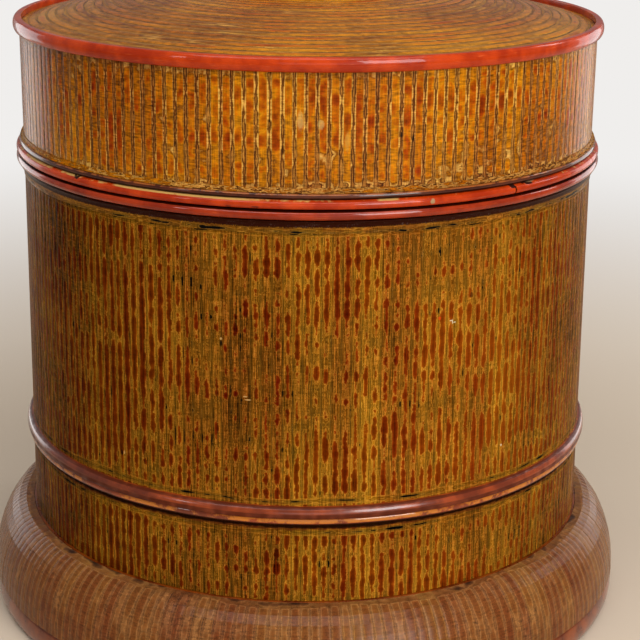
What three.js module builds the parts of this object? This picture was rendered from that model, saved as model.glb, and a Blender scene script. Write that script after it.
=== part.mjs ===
// A round storage bin of lacquered bamboo with a lift-off lid.
// Upright slats form both walls. Hoops, mouldings and a flared hollow foot hold them.
// Millimetres, +Z up. The origin is on the floor, under the middle of the foot.
import * as THREE from 'three';
import { mergeVertices } from 'three/addons/utils/BufferGeometryUtils.js';

// Clearances
const SEAT_GAP = 0.3;
const LID_PLAY = 1.2;

// Smoothness of the turned pieces and steps along one rounded stretch
const RING_SIDES = 48;
const CURVE_STEPS = 4;
const ROUNDING_STEPS = 2;
const FLARE_STEPS = 6;
const DOME_STEPS = 6;

// Foot
const FOOT_FLARE = 37.6;
const FOOT_HOOP_HEIGHT = 22;
const FOOT_HOOP_WIDTH = 14;
const FOOT_MOULDING_HEIGHT = 60;
const FOOT_LIP = 2;
const FOOT_SHELF_WIDTH = 22;
const FOOT_SHELF_THICKNESS = 9;

// Base
const BASE_THICKNESS = 10;
const BASE_HOOP_HEIGHT = 12;
const BASE_HOOP_THICKNESS = 5;

// Body wall
const WALL_TOP_RADIUS = 241;
const WALL_SPREAD = 2.4;
const WALL_THICKNESS = 9;
const WALL_HEIGHT = 305.8;
const WALL_SLATS = 198;
const SLAT_RELIEF = 0.8;

// Lower ring round the body wall: a small bead, and above it a broad full shoulder,
// which is fullest a little above the valley between the two
const LOWER_RING_RISE = 65.5;
const LOWER_RING_HEIGHT = 15;
const LOWER_BEAD_PROJECTION = 3.1;
const LOWER_BEAD_HEIGHT = 6;
const LOWER_BEAD_WIDTH = 2;
const LOWER_SHOULDER_PROJECTION = 4.6;
const LOWER_SHOULDER_FULLEST = 2.2;

// Rim of the body
const RIM_HEIGHT = 7.7;
const RIM_PROJECTION = 6.4;
const RIM_ROUNDING = 2;
const RIM_FILLET_HEIGHT = 10;
const RIM_FILLET_PROJECTION = 3;
const COLLAR_THICKNESS = 4;
const COLLAR_RISE = 22;
const COLLAR_DEPTH = 45;

// Lid
const LID_RIM_HEIGHT = 7.3;
const LID_BEAD_HEIGHT = 4.4;
const LID_BEAD_PROJECTION = 2.6;
const LID_COVE_HEIGHT = 3.6;
const LID_COVE_PROJECTION = 1.6;
const LID_LINER_THICKNESS = 3;
const LID_WALL_THICKNESS = 4.8;
const LID_WALL_HEIGHT = 92;
const LID_SLATS = 171;
const SHOULDER_HEIGHT = 11;
const SHOULDER_PROJECTION = 5;
const SHOULDER_WIDTH = 7;
const CROWN_RISE = 30;
const CROWN_THICKNESS = 6;
const CROWN_RING_RADIUS = 78;
const CROWN_RING_WIDTH = 9;
const CROWN_RING_HEIGHT = 5;
const BOSS_HEIGHT = 9;

// A ring with few sides sags inwards at the middle of each side.
// Round something with more sides, its corners go out by this share.
const SAG = 1 / Math.cos(Math.PI / RING_SIDES);

// Heights, from the floor up
const footShelfZ = FOOT_HOOP_HEIGHT + SEAT_GAP + FOOT_MOULDING_HEIGHT;
const wallBottomZ = footShelfZ + SEAT_GAP;
const wallTopZ = wallBottomZ + WALL_HEIGHT;
const baseTopZ = wallBottomZ + BASE_THICKNESS;
const rimBottomZ = wallTopZ + SEAT_GAP;
const rimTopZ = rimBottomZ + RIM_HEIGHT;
const lidRimBottomZ = rimTopZ + SEAT_GAP;
const lidRimTopZ = lidRimBottomZ + LID_RIM_HEIGHT;
const lidWallBottomZ = lidRimTopZ + SEAT_GAP;
const lidWallTopZ = lidWallBottomZ + LID_WALL_HEIGHT;
const crownBottomZ = lidWallTopZ + SEAT_GAP;

// Radii that follow from the body wall
const wallBottomRadius = WALL_TOP_RADIUS + WALL_SPREAD;
const footRadius = wallBottomRadius + FOOT_FLARE;
const rimRadius = WALL_TOP_RADIUS + RIM_PROJECTION;
function wallRadiusAt(z) {
  const share = (z - wallBottomZ) / WALL_HEIGHT;
  return wallBottomRadius - WALL_SPREAD * share;
}
const collarRadius = WALL_TOP_RADIUS - WALL_THICKNESS - SEAT_GAP;
const linerInnerRadius = collarRadius + LID_PLAY;
const linerRadius = linerInnerRadius + LID_LINER_THICKNESS;
const lidWallInnerRadius = linerRadius + SEAT_GAP;
const lidWallRadius = lidWallInnerRadius + LID_WALL_THICKNESS;
const shoulderRadius = lidWallRadius + SHOULDER_PROJECTION;

// Finishes
function lacquer(colour, roughness) {
  return new THREE.MeshStandardMaterial({ color: colour, roughness, metalness: 0 });
}
const ochreLacquer = lacquer(0x8c5812, 0.3);
const goldenLacquer = lacquer(0xaf6e1c, 0.28);
const redLacquer = lacquer(0xb9411b, 0.25);
const brownLacquer = lacquer(0x6b3317, 0.3);
const darkLacquer = lacquer(0x2a1009, 0.35);

const bin = new THREE.Group();

function addPiece(name, geometry, material) {
  const piece = new THREE.Mesh(geometry, material);
  piece.name = name;
  bin.add(piece);
}

// Keeps positions alone and joins the points that meet
function welded(geometry) {
  geometry.deleteAttribute('normal');
  geometry.deleteAttribute('uv');
  const solid = mergeVertices(geometry, 1e-4);
  solid.computeVertexNormals();
  return solid;
}

// Turns a closed outline of [radius, height] points, given anticlockwise, round the Z axis
function turned(outline) {
  const points = [...outline, outline[0]].map(([radius, z]) => new THREE.Vector2(radius, z));
  return welded(new THREE.LatheGeometry(points, RING_SIDES).rotateX(Math.PI / 2));
}

// A plain hoop between two radii
function hoop(inner, outer, bottom, top) {
  return turned([[inner, bottom], [outer, bottom], [outer, top], [inner, top]]);
}

// Points of a quarter of an ellipse from one angle to the other, in quarter turns
function quarterCurve(centreR, centreZ, width, height, start, end, steps = CURVE_STEPS) {
  const points = [];
  for (let step = 0; step <= steps; step += 1) {
    const angle = (start + (end - start) * step / steps) * Math.PI / 2;
    points.push([centreR + width * Math.cos(angle), centreZ + height * Math.sin(angle)]);
  }
  return points;
}

// An upright wall of slats side by side, each with a crowned face, round inside.
// Every slat gives three points: its joint, and the two shoulders of its crown.
function slatWall(slats, bottomRadius, topRadius, innerRadius, bottomZ, height) {
  const outline = new THREE.Shape();
  for (let slat = 0; slat < slats; slat += 1) {
    for (const [share, depth] of [[0, SLAT_RELIEF], [0.3, 0], [0.7, 0]]) {
      const angle = (slat + share) / slats * 2 * Math.PI;
      const radius = bottomRadius - depth;
      const x = radius * Math.cos(angle);
      const y = radius * Math.sin(angle);
      if (slat === 0 && share === 0) outline.moveTo(x, y);
      else outline.lineTo(x, y);
    }
  }
  outline.closePath();
  const bore = new THREE.Path();
  for (let side = 0; side < RING_SIDES; side += 1) {
    const angle = -side / RING_SIDES * 2 * Math.PI;
    const x = innerRadius * Math.cos(angle);
    const y = innerRadius * Math.sin(angle);
    if (side === 0) bore.moveTo(x, y);
    else bore.lineTo(x, y);
  }
  bore.closePath();
  outline.holes.push(bore);
  const geometry = new THREE.ExtrudeGeometry(outline, { depth: height, bevelEnabled: false });
  const position = geometry.attributes.position;
  for (let index = 0; index < position.count; index += 1) {
    const lean = (topRadius - bottomRadius) * position.getZ(index) / height;
    const radius = Math.hypot(position.getX(index), position.getY(index));
    const scale = (radius + lean) / radius;
    position.setXY(index, position.getX(index) * scale, position.getY(index) * scale);
  }
  return welded(geometry.translate(0, 0, bottomZ));
}

// Foot: a plain hoop on the floor, and the flared hollow moulding that it carries
function addFoot() {
  const hoopInner = footRadius - FOOT_HOOP_WIDTH;
  addPiece('foot_hoop', hoop(hoopInner, footRadius, 0, FOOT_HOOP_HEIGHT), brownLacquer);

  const bottomZ = FOOT_HOOP_HEIGHT + SEAT_GAP;
  const neckRadius = wallBottomRadius + FOOT_LIP;
  const shelfInner = wallBottomRadius - FOOT_SHELF_WIDTH;
  const shelfUnderZ = footShelfZ - FOOT_SHELF_THICKNESS;
  const flare = quarterCurve(
    neckRadius, bottomZ, footRadius - neckRadius, FOOT_MOULDING_HEIGHT, 0, 1, FLARE_STEPS);
  addPiece('foot_moulding', turned([
    ...flare, [shelfInner, footShelfZ], [shelfInner, shelfUnderZ], [hoopInner, bottomZ],
  ]), brownLacquer);
}

// Base: a disc on the shelf of the foot, held down by a hoop in the corner
function addBase() {
  const discRadius = wallRadiusAt(baseTopZ) - WALL_THICKNESS - SEAT_GAP;
  addPiece('base_disc', turned([
    [0, wallBottomZ], [discRadius, wallBottomZ], [discRadius, baseTopZ], [0, baseTopZ],
  ]), darkLacquer);

  const hoopBottomZ = baseTopZ + SEAT_GAP;
  const hoopTopZ = hoopBottomZ + BASE_HOOP_HEIGHT;
  const hoopRadius = wallRadiusAt(hoopTopZ) - WALL_THICKNESS - SEAT_GAP;
  addPiece('inner_base_hoop',
    hoop(hoopRadius - BASE_HOOP_THICKNESS, hoopRadius, hoopBottomZ, hoopTopZ), redLacquer);
}

// Body wall and the moulded ring that binds it
function addBodyWall() {
  addPiece('body_slat_wall', slatWall(
    WALL_SLATS, wallBottomRadius, WALL_TOP_RADIUS, wallBottomRadius - WALL_THICKNESS,
    wallBottomZ, WALL_HEIGHT), ochreLacquer);

  const ringBottomZ = wallBottomZ + LOWER_RING_RISE;
  const fullestZ = ringBottomZ + LOWER_BEAD_HEIGHT + LOWER_SHOULDER_FULLEST;
  const ringInner = (wallRadiusAt(ringBottomZ) + SEAT_GAP) * SAG;
  const bead = quarterCurve(
    ringInner + LOWER_BEAD_PROJECTION - LOWER_BEAD_WIDTH, ringBottomZ + LOWER_BEAD_HEIGHT / 2,
    LOWER_BEAD_WIDTH, LOWER_BEAD_HEIGHT / 2, -1, 0.7);
  const shoulder = quarterCurve(
    ringInner, fullestZ, LOWER_SHOULDER_PROJECTION,
    ringBottomZ + LOWER_RING_HEIGHT - fullestZ, -0.2, 1);
  addPiece('lower_ring', turned([[ringInner, ringBottomZ], ...bead, ...shoulder]), brownLacquer);
}

// A red hoop, flat above and below, with its outer corners rounded
function redHoop(inner, bottomZ, topZ) {
  const centreR = rimRadius - RIM_ROUNDING;
  const corner = (centreZ, start) => quarterCurve(
    centreR, centreZ, RIM_ROUNDING, RIM_ROUNDING, start, start + 1, ROUNDING_STEPS);
  return turned([
    [inner, bottomZ], ...corner(bottomZ + RIM_ROUNDING, -1),
    ...corner(topZ - RIM_ROUNDING, 0), [inner, topZ],
  ]);
}

// Rim: a red hoop on top of the wall, a hollow fillet under it, and the collar inside
function addRim() {
  addPiece('body_rim_ring', redHoop(collarRadius + SEAT_GAP, rimBottomZ, rimTopZ), redLacquer);

  const filletBottomZ = wallTopZ - RIM_FILLET_HEIGHT;
  const filletInner = (wallRadiusAt(filletBottomZ) + SEAT_GAP) * SAG;
  const edge = 1;
  const hollow = quarterCurve(
    filletInner + RIM_FILLET_PROJECTION, filletBottomZ, edge - RIM_FILLET_PROJECTION,
    RIM_FILLET_HEIGHT - edge, 0, 1);
  addPiece('rim_fillet', turned([
    [filletInner, filletBottomZ], ...hollow,
    [filletInner + RIM_FILLET_PROJECTION, wallTopZ], [filletInner, wallTopZ],
  ]), darkLacquer);

  addPiece('body_collar', hoop(
    collarRadius - COLLAR_THICKNESS, collarRadius,
    wallTopZ - COLLAR_DEPTH, rimTopZ + COLLAR_RISE), darkLacquer);
}

// Lid skirt: red hoop, dark bead, hollow cove, slats, and the liner that slides over the collar
function addLidSkirt() {
  addPiece('lid_rim_ring', redHoop(linerInnerRadius, lidRimBottomZ, lidRimTopZ), redLacquer);

  addPiece('lid_slat_wall', slatWall(
    LID_SLATS, lidWallRadius, lidWallRadius, lidWallInnerRadius,
    lidWallBottomZ, LID_WALL_HEIGHT), goldenLacquer);

  addPiece('lid_liner', hoop(
    linerInnerRadius, linerRadius, lidWallBottomZ, lidWallTopZ), darkLacquer);

  const trimInner = (lidWallRadius + SEAT_GAP) * SAG;
  const beadMiddleZ = lidWallBottomZ + LID_BEAD_HEIGHT / 2;
  addPiece('lid_bead', turned(quarterCurve(
    trimInner, beadMiddleZ, LID_BEAD_PROJECTION, LID_BEAD_HEIGHT / 2, -1, 1)), darkLacquer);

  const coveBottomZ = lidWallBottomZ + LID_BEAD_HEIGHT + SEAT_GAP;
  const edge = 0.5;
  const hollow = quarterCurve(
    trimInner + LID_COVE_PROJECTION, coveBottomZ + LID_COVE_HEIGHT,
    edge - LID_COVE_PROJECTION, edge - LID_COVE_HEIGHT, 1, 0);
  addPiece('lid_cove', turned([
    [trimInner, coveBottomZ], [trimInner + LID_COVE_PROJECTION, coveBottomZ], ...hollow,
    [trimInner, coveBottomZ + LID_COVE_HEIGHT],
  ]), goldenLacquer);
}

// Lid top: a shoulder ring round a low hollow dome, with a small ring and boss in its middle
function addLidTop() {
  const shoulderInner = shoulderRadius - SHOULDER_WIDTH;
  const middleZ = crownBottomZ + SHOULDER_HEIGHT / 2;
  addPiece('lid_shoulder_ring', turned([
    [shoulderInner, crownBottomZ],
    ...quarterCurve(
      shoulderRadius - SHOULDER_WIDTH / 2, middleZ, SHOULDER_WIDTH / 2, SHOULDER_HEIGHT / 2, -1, 1),
    [shoulderInner, crownBottomZ + SHOULDER_HEIGHT],
  ]), redLacquer);

  const crownRadius = shoulderInner - SEAT_GAP;
  const crownEdgeZ = crownBottomZ + CROWN_THICKNESS;
  const sphereRadius = (crownRadius ** 2 + CROWN_RISE ** 2) / (2 * CROWN_RISE);
  const domeHeight = (radius, bigRadius) => (
    Math.sqrt(bigRadius ** 2 - radius ** 2) - (sphereRadius - CROWN_RISE));
  const over = [];
  const under = [];
  const underRadius = linerInnerRadius;
  for (let step = 0; step <= DOME_STEPS; step += 1) {
    const outerR = crownRadius * (1 - step / DOME_STEPS);
    const innerR = underRadius * step / DOME_STEPS;
    const bigInner = Math.hypot(underRadius, sphereRadius - CROWN_RISE);
    over.push([outerR, crownEdgeZ + domeHeight(outerR, sphereRadius)]);
    under.push([innerR, crownBottomZ + domeHeight(innerR, bigInner)]);
  }
  addPiece('lid_crown', turned([[crownRadius, crownBottomZ], ...over, ...under]), goldenLacquer);

  const ringOuter = CROWN_RING_RADIUS + CROWN_RING_WIDTH / 2;
  const ringInner = CROWN_RING_RADIUS - CROWN_RING_WIDTH / 2;
  const seatZ = (radius) => crownEdgeZ + domeHeight(radius, sphereRadius) + SEAT_GAP;
  addPiece('lid_crown_ring', turned([
    [ringInner, seatZ(ringInner)], [ringOuter, seatZ(ringOuter)],
    ...quarterCurve(
      CROWN_RING_RADIUS, seatZ(ringInner), CROWN_RING_WIDTH / 2, CROWN_RING_HEIGHT, 0, 2)
      .slice(1, -1),
  ]), redLacquer);

  const bossRadius = ringInner - SEAT_GAP;
  const bossTopZ = seatZ(0) + BOSS_HEIGHT;
  const bossEdge = BOSS_HEIGHT / 3;
  addPiece('lid_boss', turned([
    [0, seatZ(0)], [bossRadius / 2, seatZ(bossRadius / 2)], [bossRadius, seatZ(bossRadius)],
    ...quarterCurve(
      bossRadius - bossEdge, bossTopZ - bossEdge, bossEdge, bossEdge, 0, 1, ROUNDING_STEPS),
    [0, bossTopZ],
  ]), goldenLacquer);
}

addFoot();
addBase();
addBodyWall();
addRim();
addLidSkirt();
addLidTop();

export default bin;
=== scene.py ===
# %% [markdown]
# A round storage bin of lacquered bamboo. Slats stand side by side round the wall, turned hoops
# bind them, and many coats of lacquer were laid over the whole and rubbed down again.
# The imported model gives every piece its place. This script makes the surface of each piece: the
# crown of every slat, the softened edges of the hoops, and the layers that show where they wore.

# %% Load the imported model
import math
import random

import bpy
from mathutils import Matrix, Vector


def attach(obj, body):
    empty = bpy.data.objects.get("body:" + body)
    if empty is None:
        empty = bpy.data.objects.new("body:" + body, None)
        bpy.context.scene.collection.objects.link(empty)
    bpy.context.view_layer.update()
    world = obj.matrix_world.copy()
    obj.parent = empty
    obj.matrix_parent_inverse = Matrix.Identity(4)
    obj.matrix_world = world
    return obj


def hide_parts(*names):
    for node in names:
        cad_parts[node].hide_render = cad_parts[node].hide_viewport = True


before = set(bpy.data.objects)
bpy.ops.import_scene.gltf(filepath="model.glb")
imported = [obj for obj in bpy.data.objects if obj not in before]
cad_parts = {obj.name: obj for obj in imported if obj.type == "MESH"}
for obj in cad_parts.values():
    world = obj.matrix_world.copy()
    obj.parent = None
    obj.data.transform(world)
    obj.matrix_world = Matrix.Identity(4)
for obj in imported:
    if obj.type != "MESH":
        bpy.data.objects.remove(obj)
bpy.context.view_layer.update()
MM = 0.001
FULL_TURN = 2 * math.pi

# %% [markdown]
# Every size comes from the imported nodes. The bin is round, so a node is known by its radii and
# heights, and those are read from its points. Only the slats are counted here.

# %% Measure the nodes


def node_points(node):
    """Radius and height of each point of a node, in metres."""
    return [(math.hypot(v.co.x, v.co.y), v.co.z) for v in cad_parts[node].data.vertices]


def ring_size(node):
    """Inner radius, outer radius, lowest height and highest height of a node."""
    radii, heights = zip(*node_points(node))
    return min(radii), max(radii), min(heights), max(heights)


def outer_radius_at(node, height):
    """The largest radius that a node has at one height."""
    return max(radius for radius, z in node_points(node) if abs(z - height) < 0.1 * MM)


def highest_near(node, radius):
    """The highest point that a node has at one radius."""
    return max(z for r, z in node_points(node) if abs(r - radius) < 0.2 * MM)


BODY_SLATS = 198
LID_SLATS = 171
WALL_IN, WALL_OUT, WALL_LOW, WALL_TOP = ring_size("body_slat_wall")
WALL_OUT_TOP = outer_radius_at("body_slat_wall", WALL_TOP)
LID_IN, LID_OUT, LID_LOW, LID_TOP = ring_size("lid_slat_wall")
_, FOOT_OUT, FOOT_LOW, FOOT_TOP = ring_size("foot_moulding")
_, _, RING_LOW, RING_TOP = ring_size("lower_ring")
FILLET_LOW = ring_size("rim_fillet")[2]
COVE_TOP = ring_size("lid_cove")[3]
print("body wall radius", round(WALL_OUT / MM, 1), "lid wall radius", round(LID_OUT / MM, 1))

# %% [markdown]
# The camera stands in front of the bin and looks down at it a little, from about six bin radii
# away. Its lens is long, so the rings look like flat ellipses.

# %% Camera
CAMERA_DISTANCE = 1.4383
CAMERA_HEIGHT = 0.6951
CAMERA_PITCH = math.radians(17.72)
CAMERA_YAW = math.radians(0.48)
CAMERA_ROLL = math.radians(0.60)
CAMERA_LENS = 95.38
CAMERA_SENSOR = 36.0


def place(data, name, matrix):
    """Links a new object that holds the data and stands where the matrix says."""
    thing = bpy.data.objects.new(name, data)
    bpy.context.scene.collection.objects.link(thing)
    thing.matrix_world = matrix
    return thing


def make_camera():
    forward = Vector((
        math.sin(CAMERA_YAW) * math.cos(CAMERA_PITCH),
        math.cos(CAMERA_YAW) * math.cos(CAMERA_PITCH),
        -math.sin(CAMERA_PITCH),
    ))
    level_right = forward.cross(Vector((0, 0, 1))).normalized()
    level_up = level_right.cross(forward)
    right = level_right * math.cos(CAMERA_ROLL) + level_up * math.sin(CAMERA_ROLL)
    up = right.cross(forward)
    data = bpy.data.cameras.new("camera")
    data.lens = CAMERA_LENS
    data.sensor_width = CAMERA_SENSOR
    turn = Matrix((right, up, -forward)).transposed().to_4x4()
    spot = Matrix.Translation((0, -CAMERA_DISTANCE, CAMERA_HEIGHT))
    bpy.context.scene.camera = place(data, "camera", spot @ turn)
    return bpy.context.scene.camera


camera = make_camera()
print("camera at", [round(x, 3) for x in camera.location])

# %% [markdown]
# A material's colours are easier to judge as the eye sees them, from 0 to 255. The shader wants
# light that adds up, so one small function turns one into the other.

# %% Colour


def colour(red, green, blue):
    """A colour as the eye sees it, as the shader's linear colour."""
    shares = [value / 255 for value in (red, green, blue)]
    linear = [s / 12.92 if s <= 0.04045 else ((s + 0.055) / 1.055) ** 2.4 for s in shares]
    return (*linear, 1)


print("mid grey is", round(colour(128, 128, 128)[0], 3))

# %% [markdown]
# Shapes and finishes here both follow formulas, and a node tree holds a formula as dozens of
# Math nodes. Wire lets the script write such a formula as it stands in a book: each plus or
# times adds one Math node and links it.

# %% Write node formulas as sums


class Wire:
    """One output socket of a node tree, which can be added, multiplied and so on."""

    def __init__(self, tree, socket):
        self.tree = tree
        self.socket = socket

    def maths(self, operation, *others):
        return run(self.tree, "ShaderNodeMath", (self, *others), operation=operation)

    def __add__(self, other):
        return self.maths("ADD", other)

    def __sub__(self, other):
        return self.maths("SUBTRACT", other)

    def __rsub__(self, other):
        return self.maths("MULTIPLY", -1) + other

    def __mul__(self, other):
        return self.maths("MULTIPLY", other)

    def __truediv__(self, other):
        return self.maths("DIVIDE", other)

    def __rtruediv__(self, other):
        return self ** -1 * other

    def __pow__(self, other):
        return self.maths("POWER", other)

    __radd__ = __add__
    __rmul__ = __mul__


def plug(tree, value, socket):
    """Links a Wire to a socket, or writes a plain value there."""
    if isinstance(value, Wire):
        tree.links.new(value.socket, socket)
    else:
        socket.default_value = value


def run(tree, kind, values=(), output=0, **settings):
    """Adds a node, fills its inputs in order or by name, and gives one output back."""
    node = tree.nodes.new(kind)
    for name, value in settings.items():
        setattr(node, name, value)
    pairs = values.items() if isinstance(values, dict) else enumerate(values)
    for key, value in pairs:
        plug(tree, value, node.inputs[key])
    return Wire(tree, node.outputs[output])


print("a wire can be added, taken away, multiplied, divided and raised")

# %% [markdown]
# A few sums come back in nearly every formula: a soft step, a blend, smooth noise, and a random
# value for each slat. They are written once, and so is the making of a node group, whose named
# inputs are the sizes or amounts that it works with.

# %% Steps, blends and noise


def combine(tree, x, y, z):
    return run(tree, "ShaderNodeCombineXYZ", (x, y, z))


def outputs_of(wire):
    """Every output of the node that a wire comes from."""
    return [Wire(wire.tree, socket) for socket in wire.socket.node.outputs]


def separate(vector):
    return outputs_of(run(vector.tree, "ShaderNodeSeparateXYZ", (vector,)))


def object_position(tree):
    """Where a point of the surface is, in metres."""
    return run(tree, "ShaderNodeTexCoord", output="Object")


def smooth(wire, low, high):
    """0 below low, 1 above high, and a soft step between them. High may be the smaller one."""
    values = {"Value": wire, "From Min": low, "From Max": high}
    return run(wire.tree, "ShaderNodeMapRange", values, interpolation_type="SMOOTHSTEP")


def blend(share, first, second):
    """From first at share 0 to second at share 1."""
    return share * second + (1 - share) * first


def random_of(number, seed):
    """A random value from 0 to 1 that belongs to a number, the same in each run."""
    tree = number.tree
    return run(tree, "ShaderNodeTexWhiteNoise", {"W": number + seed}, noise_dimensions="1D")


def noise(vector, scale=1.0, detail=0.0, roughness=0.5):
    """Smooth noise with its middle at 0."""
    values = {"Vector": vector, "Scale": scale, "Detail": detail, "Roughness": roughness}
    return run(vector.tree, "ShaderNodeTexNoise", values) - 0.5


def new_tree(name, kind, inputs, outputs):
    """A node group with named inputs, its input wires by name, and its output node."""
    tree = bpy.data.node_groups.new(name, kind)
    for side, sockets in (("INPUT", inputs), ("OUTPUT", outputs)):
        for label, value in sockets.items():
            tree.interface.new_socket(label, in_out=side, socket_type="NodeSocket" + value)
    entry = tree.nodes.new("NodeGroupInput")
    wires = {label: Wire(tree, entry.outputs[label]) for label in inputs}
    return tree, wires, tree.nodes.new("NodeGroupOutput")


print("formula tools ready")

# %% [markdown]
# The studio is a pale floor under soft lamps. A wide lamp overhead, with a bright strip in it,
# draws the long sheen along every ring. A key lamp in front on the right lights that side more,
# and a low one fills the shade under the rings. Two panels behind show in the edges of the lid,
# and two small windows give short glints. The world and the far floor are paler to the eye than
# they are as a lamp.

# %% Floor, lamps and world
FLOOR_RADIUS = 14.0
FLOOR_CORNERS = 96
FLOOR_COLOUR = colour(206, 188, 166)
FADE = (0.42, 1.9)
WORLD_COLOUR = colour(240, 238, 236)
WORLD_LIGHT = 0.30
BIN_MIDDLE = Vector((0, 0, 0.27))
LAMPS = {
    "overhead": ((0.0, -0.9, 2.3), (2.6, 1.4), 22),
    "strip": ((0.0, -1.2, 2.4), (3.0, 0.12), 12),
    "key": ((1.35, -2.3, 1.35), (1.1, 1.3), 49),
    "window": ((-2.1, -1.9, 1.5), (0.25, 0.5), 3.5),
    "low_front": ((0.7, -2.8, 0.75), (2.6, 0.9), 8),
    "panel_left": ((-1.25, 1.05, 0.45), (0.8, 0.9), 5.2),
    "panel_right": ((1.25, 1.05, 0.45), (0.8, 0.9), 4.8),
    "window_right": ((2.2, 0.8, 1.7), (0.4, 0.7), 7),
}


def new_material(name, roughness):
    """A node material, its tree and its shader."""
    material = bpy.data.materials.new(name)
    material.use_nodes = True
    shader = material.node_tree.nodes["Principled BSDF"]
    shader.inputs["Roughness"].default_value = roughness
    return material, material.node_tree, shader


def make_floor():
    """A plain floor. Away from the bin the camera sees it as the pale background."""
    turns = [FULL_TURN * corner / FLOOR_CORNERS for corner in range(FLOOR_CORNERS)]
    rim = [(FLOOR_RADIUS * math.cos(a), FLOOR_RADIUS * math.sin(a), 0) for a in turns]
    mesh = bpy.data.meshes.new("floor")
    mesh.from_pydata(rim, [], [range(FLOOR_CORNERS)])
    material, tree, shader = new_material("floor_pale", 0.7)
    shader.inputs["Base Color"].default_value = FLOOR_COLOUR
    distance = run(
        tree, "ShaderNodeVectorMath", (object_position(tree),), "Value", operation="LENGTH")
    seen = run(tree, "ShaderNodeLightPath", output="Is Camera Ray")
    glow = run(tree, "ShaderNodeEmission", {"Color": WORLD_COLOUR, "Strength": 1.0})
    plain = Wire(tree, shader.outputs[0])
    look = run(tree, "ShaderNodeMixShader", (smooth(distance, *FADE) * seen, plain, glow))
    plug(tree, look, tree.nodes["Material Output"].inputs["Surface"])
    mesh.materials.append(material)
    place(mesh, "floor", Matrix.Identity(4))


def make_lamp(name, spot, size, power):
    """A soft rectangular lamp that looks at the bin. The camera doesn't see it."""
    data = bpy.data.lights.new(name, "AREA")
    data.shape = "RECTANGLE"
    data.size, data.size_y = size
    data.energy = power
    aim = (BIN_MIDDLE - Vector(spot)).to_track_quat("-Z", "Y").to_matrix().to_4x4()
    lamp = place(data, name, Matrix.Translation(spot) @ aim)
    lamp.visible_camera = False


def make_world():
    world = bpy.data.worlds.new("studio")
    world.use_nodes = True
    tree = world.node_tree
    values = {"Color": WORLD_COLOUR, "Strength": WORLD_LIGHT}
    lit = run(tree, "ShaderNodeBackground", values)
    seen = run(tree, "ShaderNodeBackground", {"Color": WORLD_COLOUR})
    direct = run(tree, "ShaderNodeLightPath", output="Is Camera Ray")
    sky = run(tree, "ShaderNodeMixShader", (direct, lit, seen))
    plug(tree, sky, tree.nodes["World Output"].inputs["Surface"])
    bpy.context.scene.world = world


make_floor()
for lamp_name, (lamp_spot, lamp_size, lamp_power) in LAMPS.items():
    make_lamp(lamp_name, lamp_spot, lamp_size, lamp_power)
make_world()
bpy.context.scene.view_settings.view_transform = "Standard"
print("lamps", len(LAMPS))

# %% [markdown]
# A bamboo slat is a thin split bar with a crowned face. Two hundred of them stand round the
# body, and the same kind of bar bends outwards over the foot. Geometry Nodes suit this: one bar
# is shaped by a formula, then copied round the axis. Each slat is set out straight in radius and
# angle, so neighbours meet in a fine joint and never overlap. Bow 0 leaves the slat straight,
# and bow 1 bends it along a quarter of an ellipse. Split bamboo is never quite even, so sway
# moves the joints a little, in three waves round the bin.

# %% The slat wall as a node tree
SLAT_INPUTS = {
    "Slats": "Int", "Rows": "Int", "Seed": "Int",
    "Bottom Radius": "Float", "Top Radius": "Float",
    "Bottom Height": "Float", "Top Height": "Float",
    "Thickness": "Float", "Relief": "Float", "Joint": "Float",
    "Bow": "Float", "Unevenness": "Float", "Finish": "Material",
}
CROWN_POINTS = 7
CROWN_POWER = 2.6
SHARP_ANGLE = math.radians(32)
WAVE_SCALE = 9.0
SWAY = ((7, 1.0, 0.0034), (17, 4.0, 0.0022), (31, 2.0, 0.0015))


def wire_sine(wire):
    return wire.maths("SINE")


def sway(angle, sine=math.sin):
    """How far the joints stray from even spacing at an angle round the bin, in radians. For a
    wire, the sine is wire_sine."""
    return sum(sine(angle * rounds + phase) * size for rounds, phase, size in SWAY)


def one_slat(tree, given):
    """A closed bar with a crowned outer face, at the place of the first slat."""
    cube = run(tree, "GeometryNodeMeshCube", {
        "Size": (1, 1, 1), "Vertices X": 2, "Vertices Y": CROWN_POINTS,
        "Vertices Z": given["Rows"]})
    x, y, z = separate(run(tree, "GeometryNodeInputPosition"))
    depth = 0.5 - x
    across = y * 2
    along = z + 0.5
    turn = along * (math.pi / 2)
    cosine = turn.maths("COSINE")
    sine = turn.maths("SINE")
    rise = given["Top Height"] - given["Bottom Height"]
    spread = given["Bottom Radius"] - given["Top Radius"]
    bow = given["Bow"]
    radius = given["Top Radius"] + spread * blend(bow, 1 - along, cosine)
    height = given["Bottom Height"] + rise * blend(bow, along, sine)
    out = blend(bow, 1.0, rise * cosine)
    up = bow * spread * sine
    length = (out * out + up * up).maths("SQRT")
    crown = across.maths("ABSOLUTE") ** CROWN_POWER
    sunk = (1 - depth) * crown * given["Relief"] + depth * given["Thickness"]
    radius = radius - sunk * out / length
    height = height - sunk * up / length
    angle = across * (1 - given["Joint"]) * math.pi / given["Slats"]
    position = combine(tree, radius * angle.maths("COSINE"), radius * angle.maths("SINE"), height)
    return run(tree, "GeometryNodeSetPosition", {"Geometry": cube, "Position": position})


def ring_of(tree, slat, given):
    """Copies of the slat round the axis, each a little larger or smaller than the next."""
    index = run(tree, "GeometryNodeInputIndex")
    angle = (index + 0.5) * FULL_TURN / given["Slats"]
    size = 1 - random_of(index, given["Seed"]) * given["Unevenness"] / given["Top Radius"]
    return run(tree, "GeometryNodeInstanceOnPoints", {
        "Points": run(tree, "GeometryNodePoints", {"Count": given["Slats"]}),
        "Instance": slat,
        "Rotation": combine(tree, 0.0, 0.0, angle),
        "Scale": combine(tree, size, size, 1.0),
    })


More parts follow.
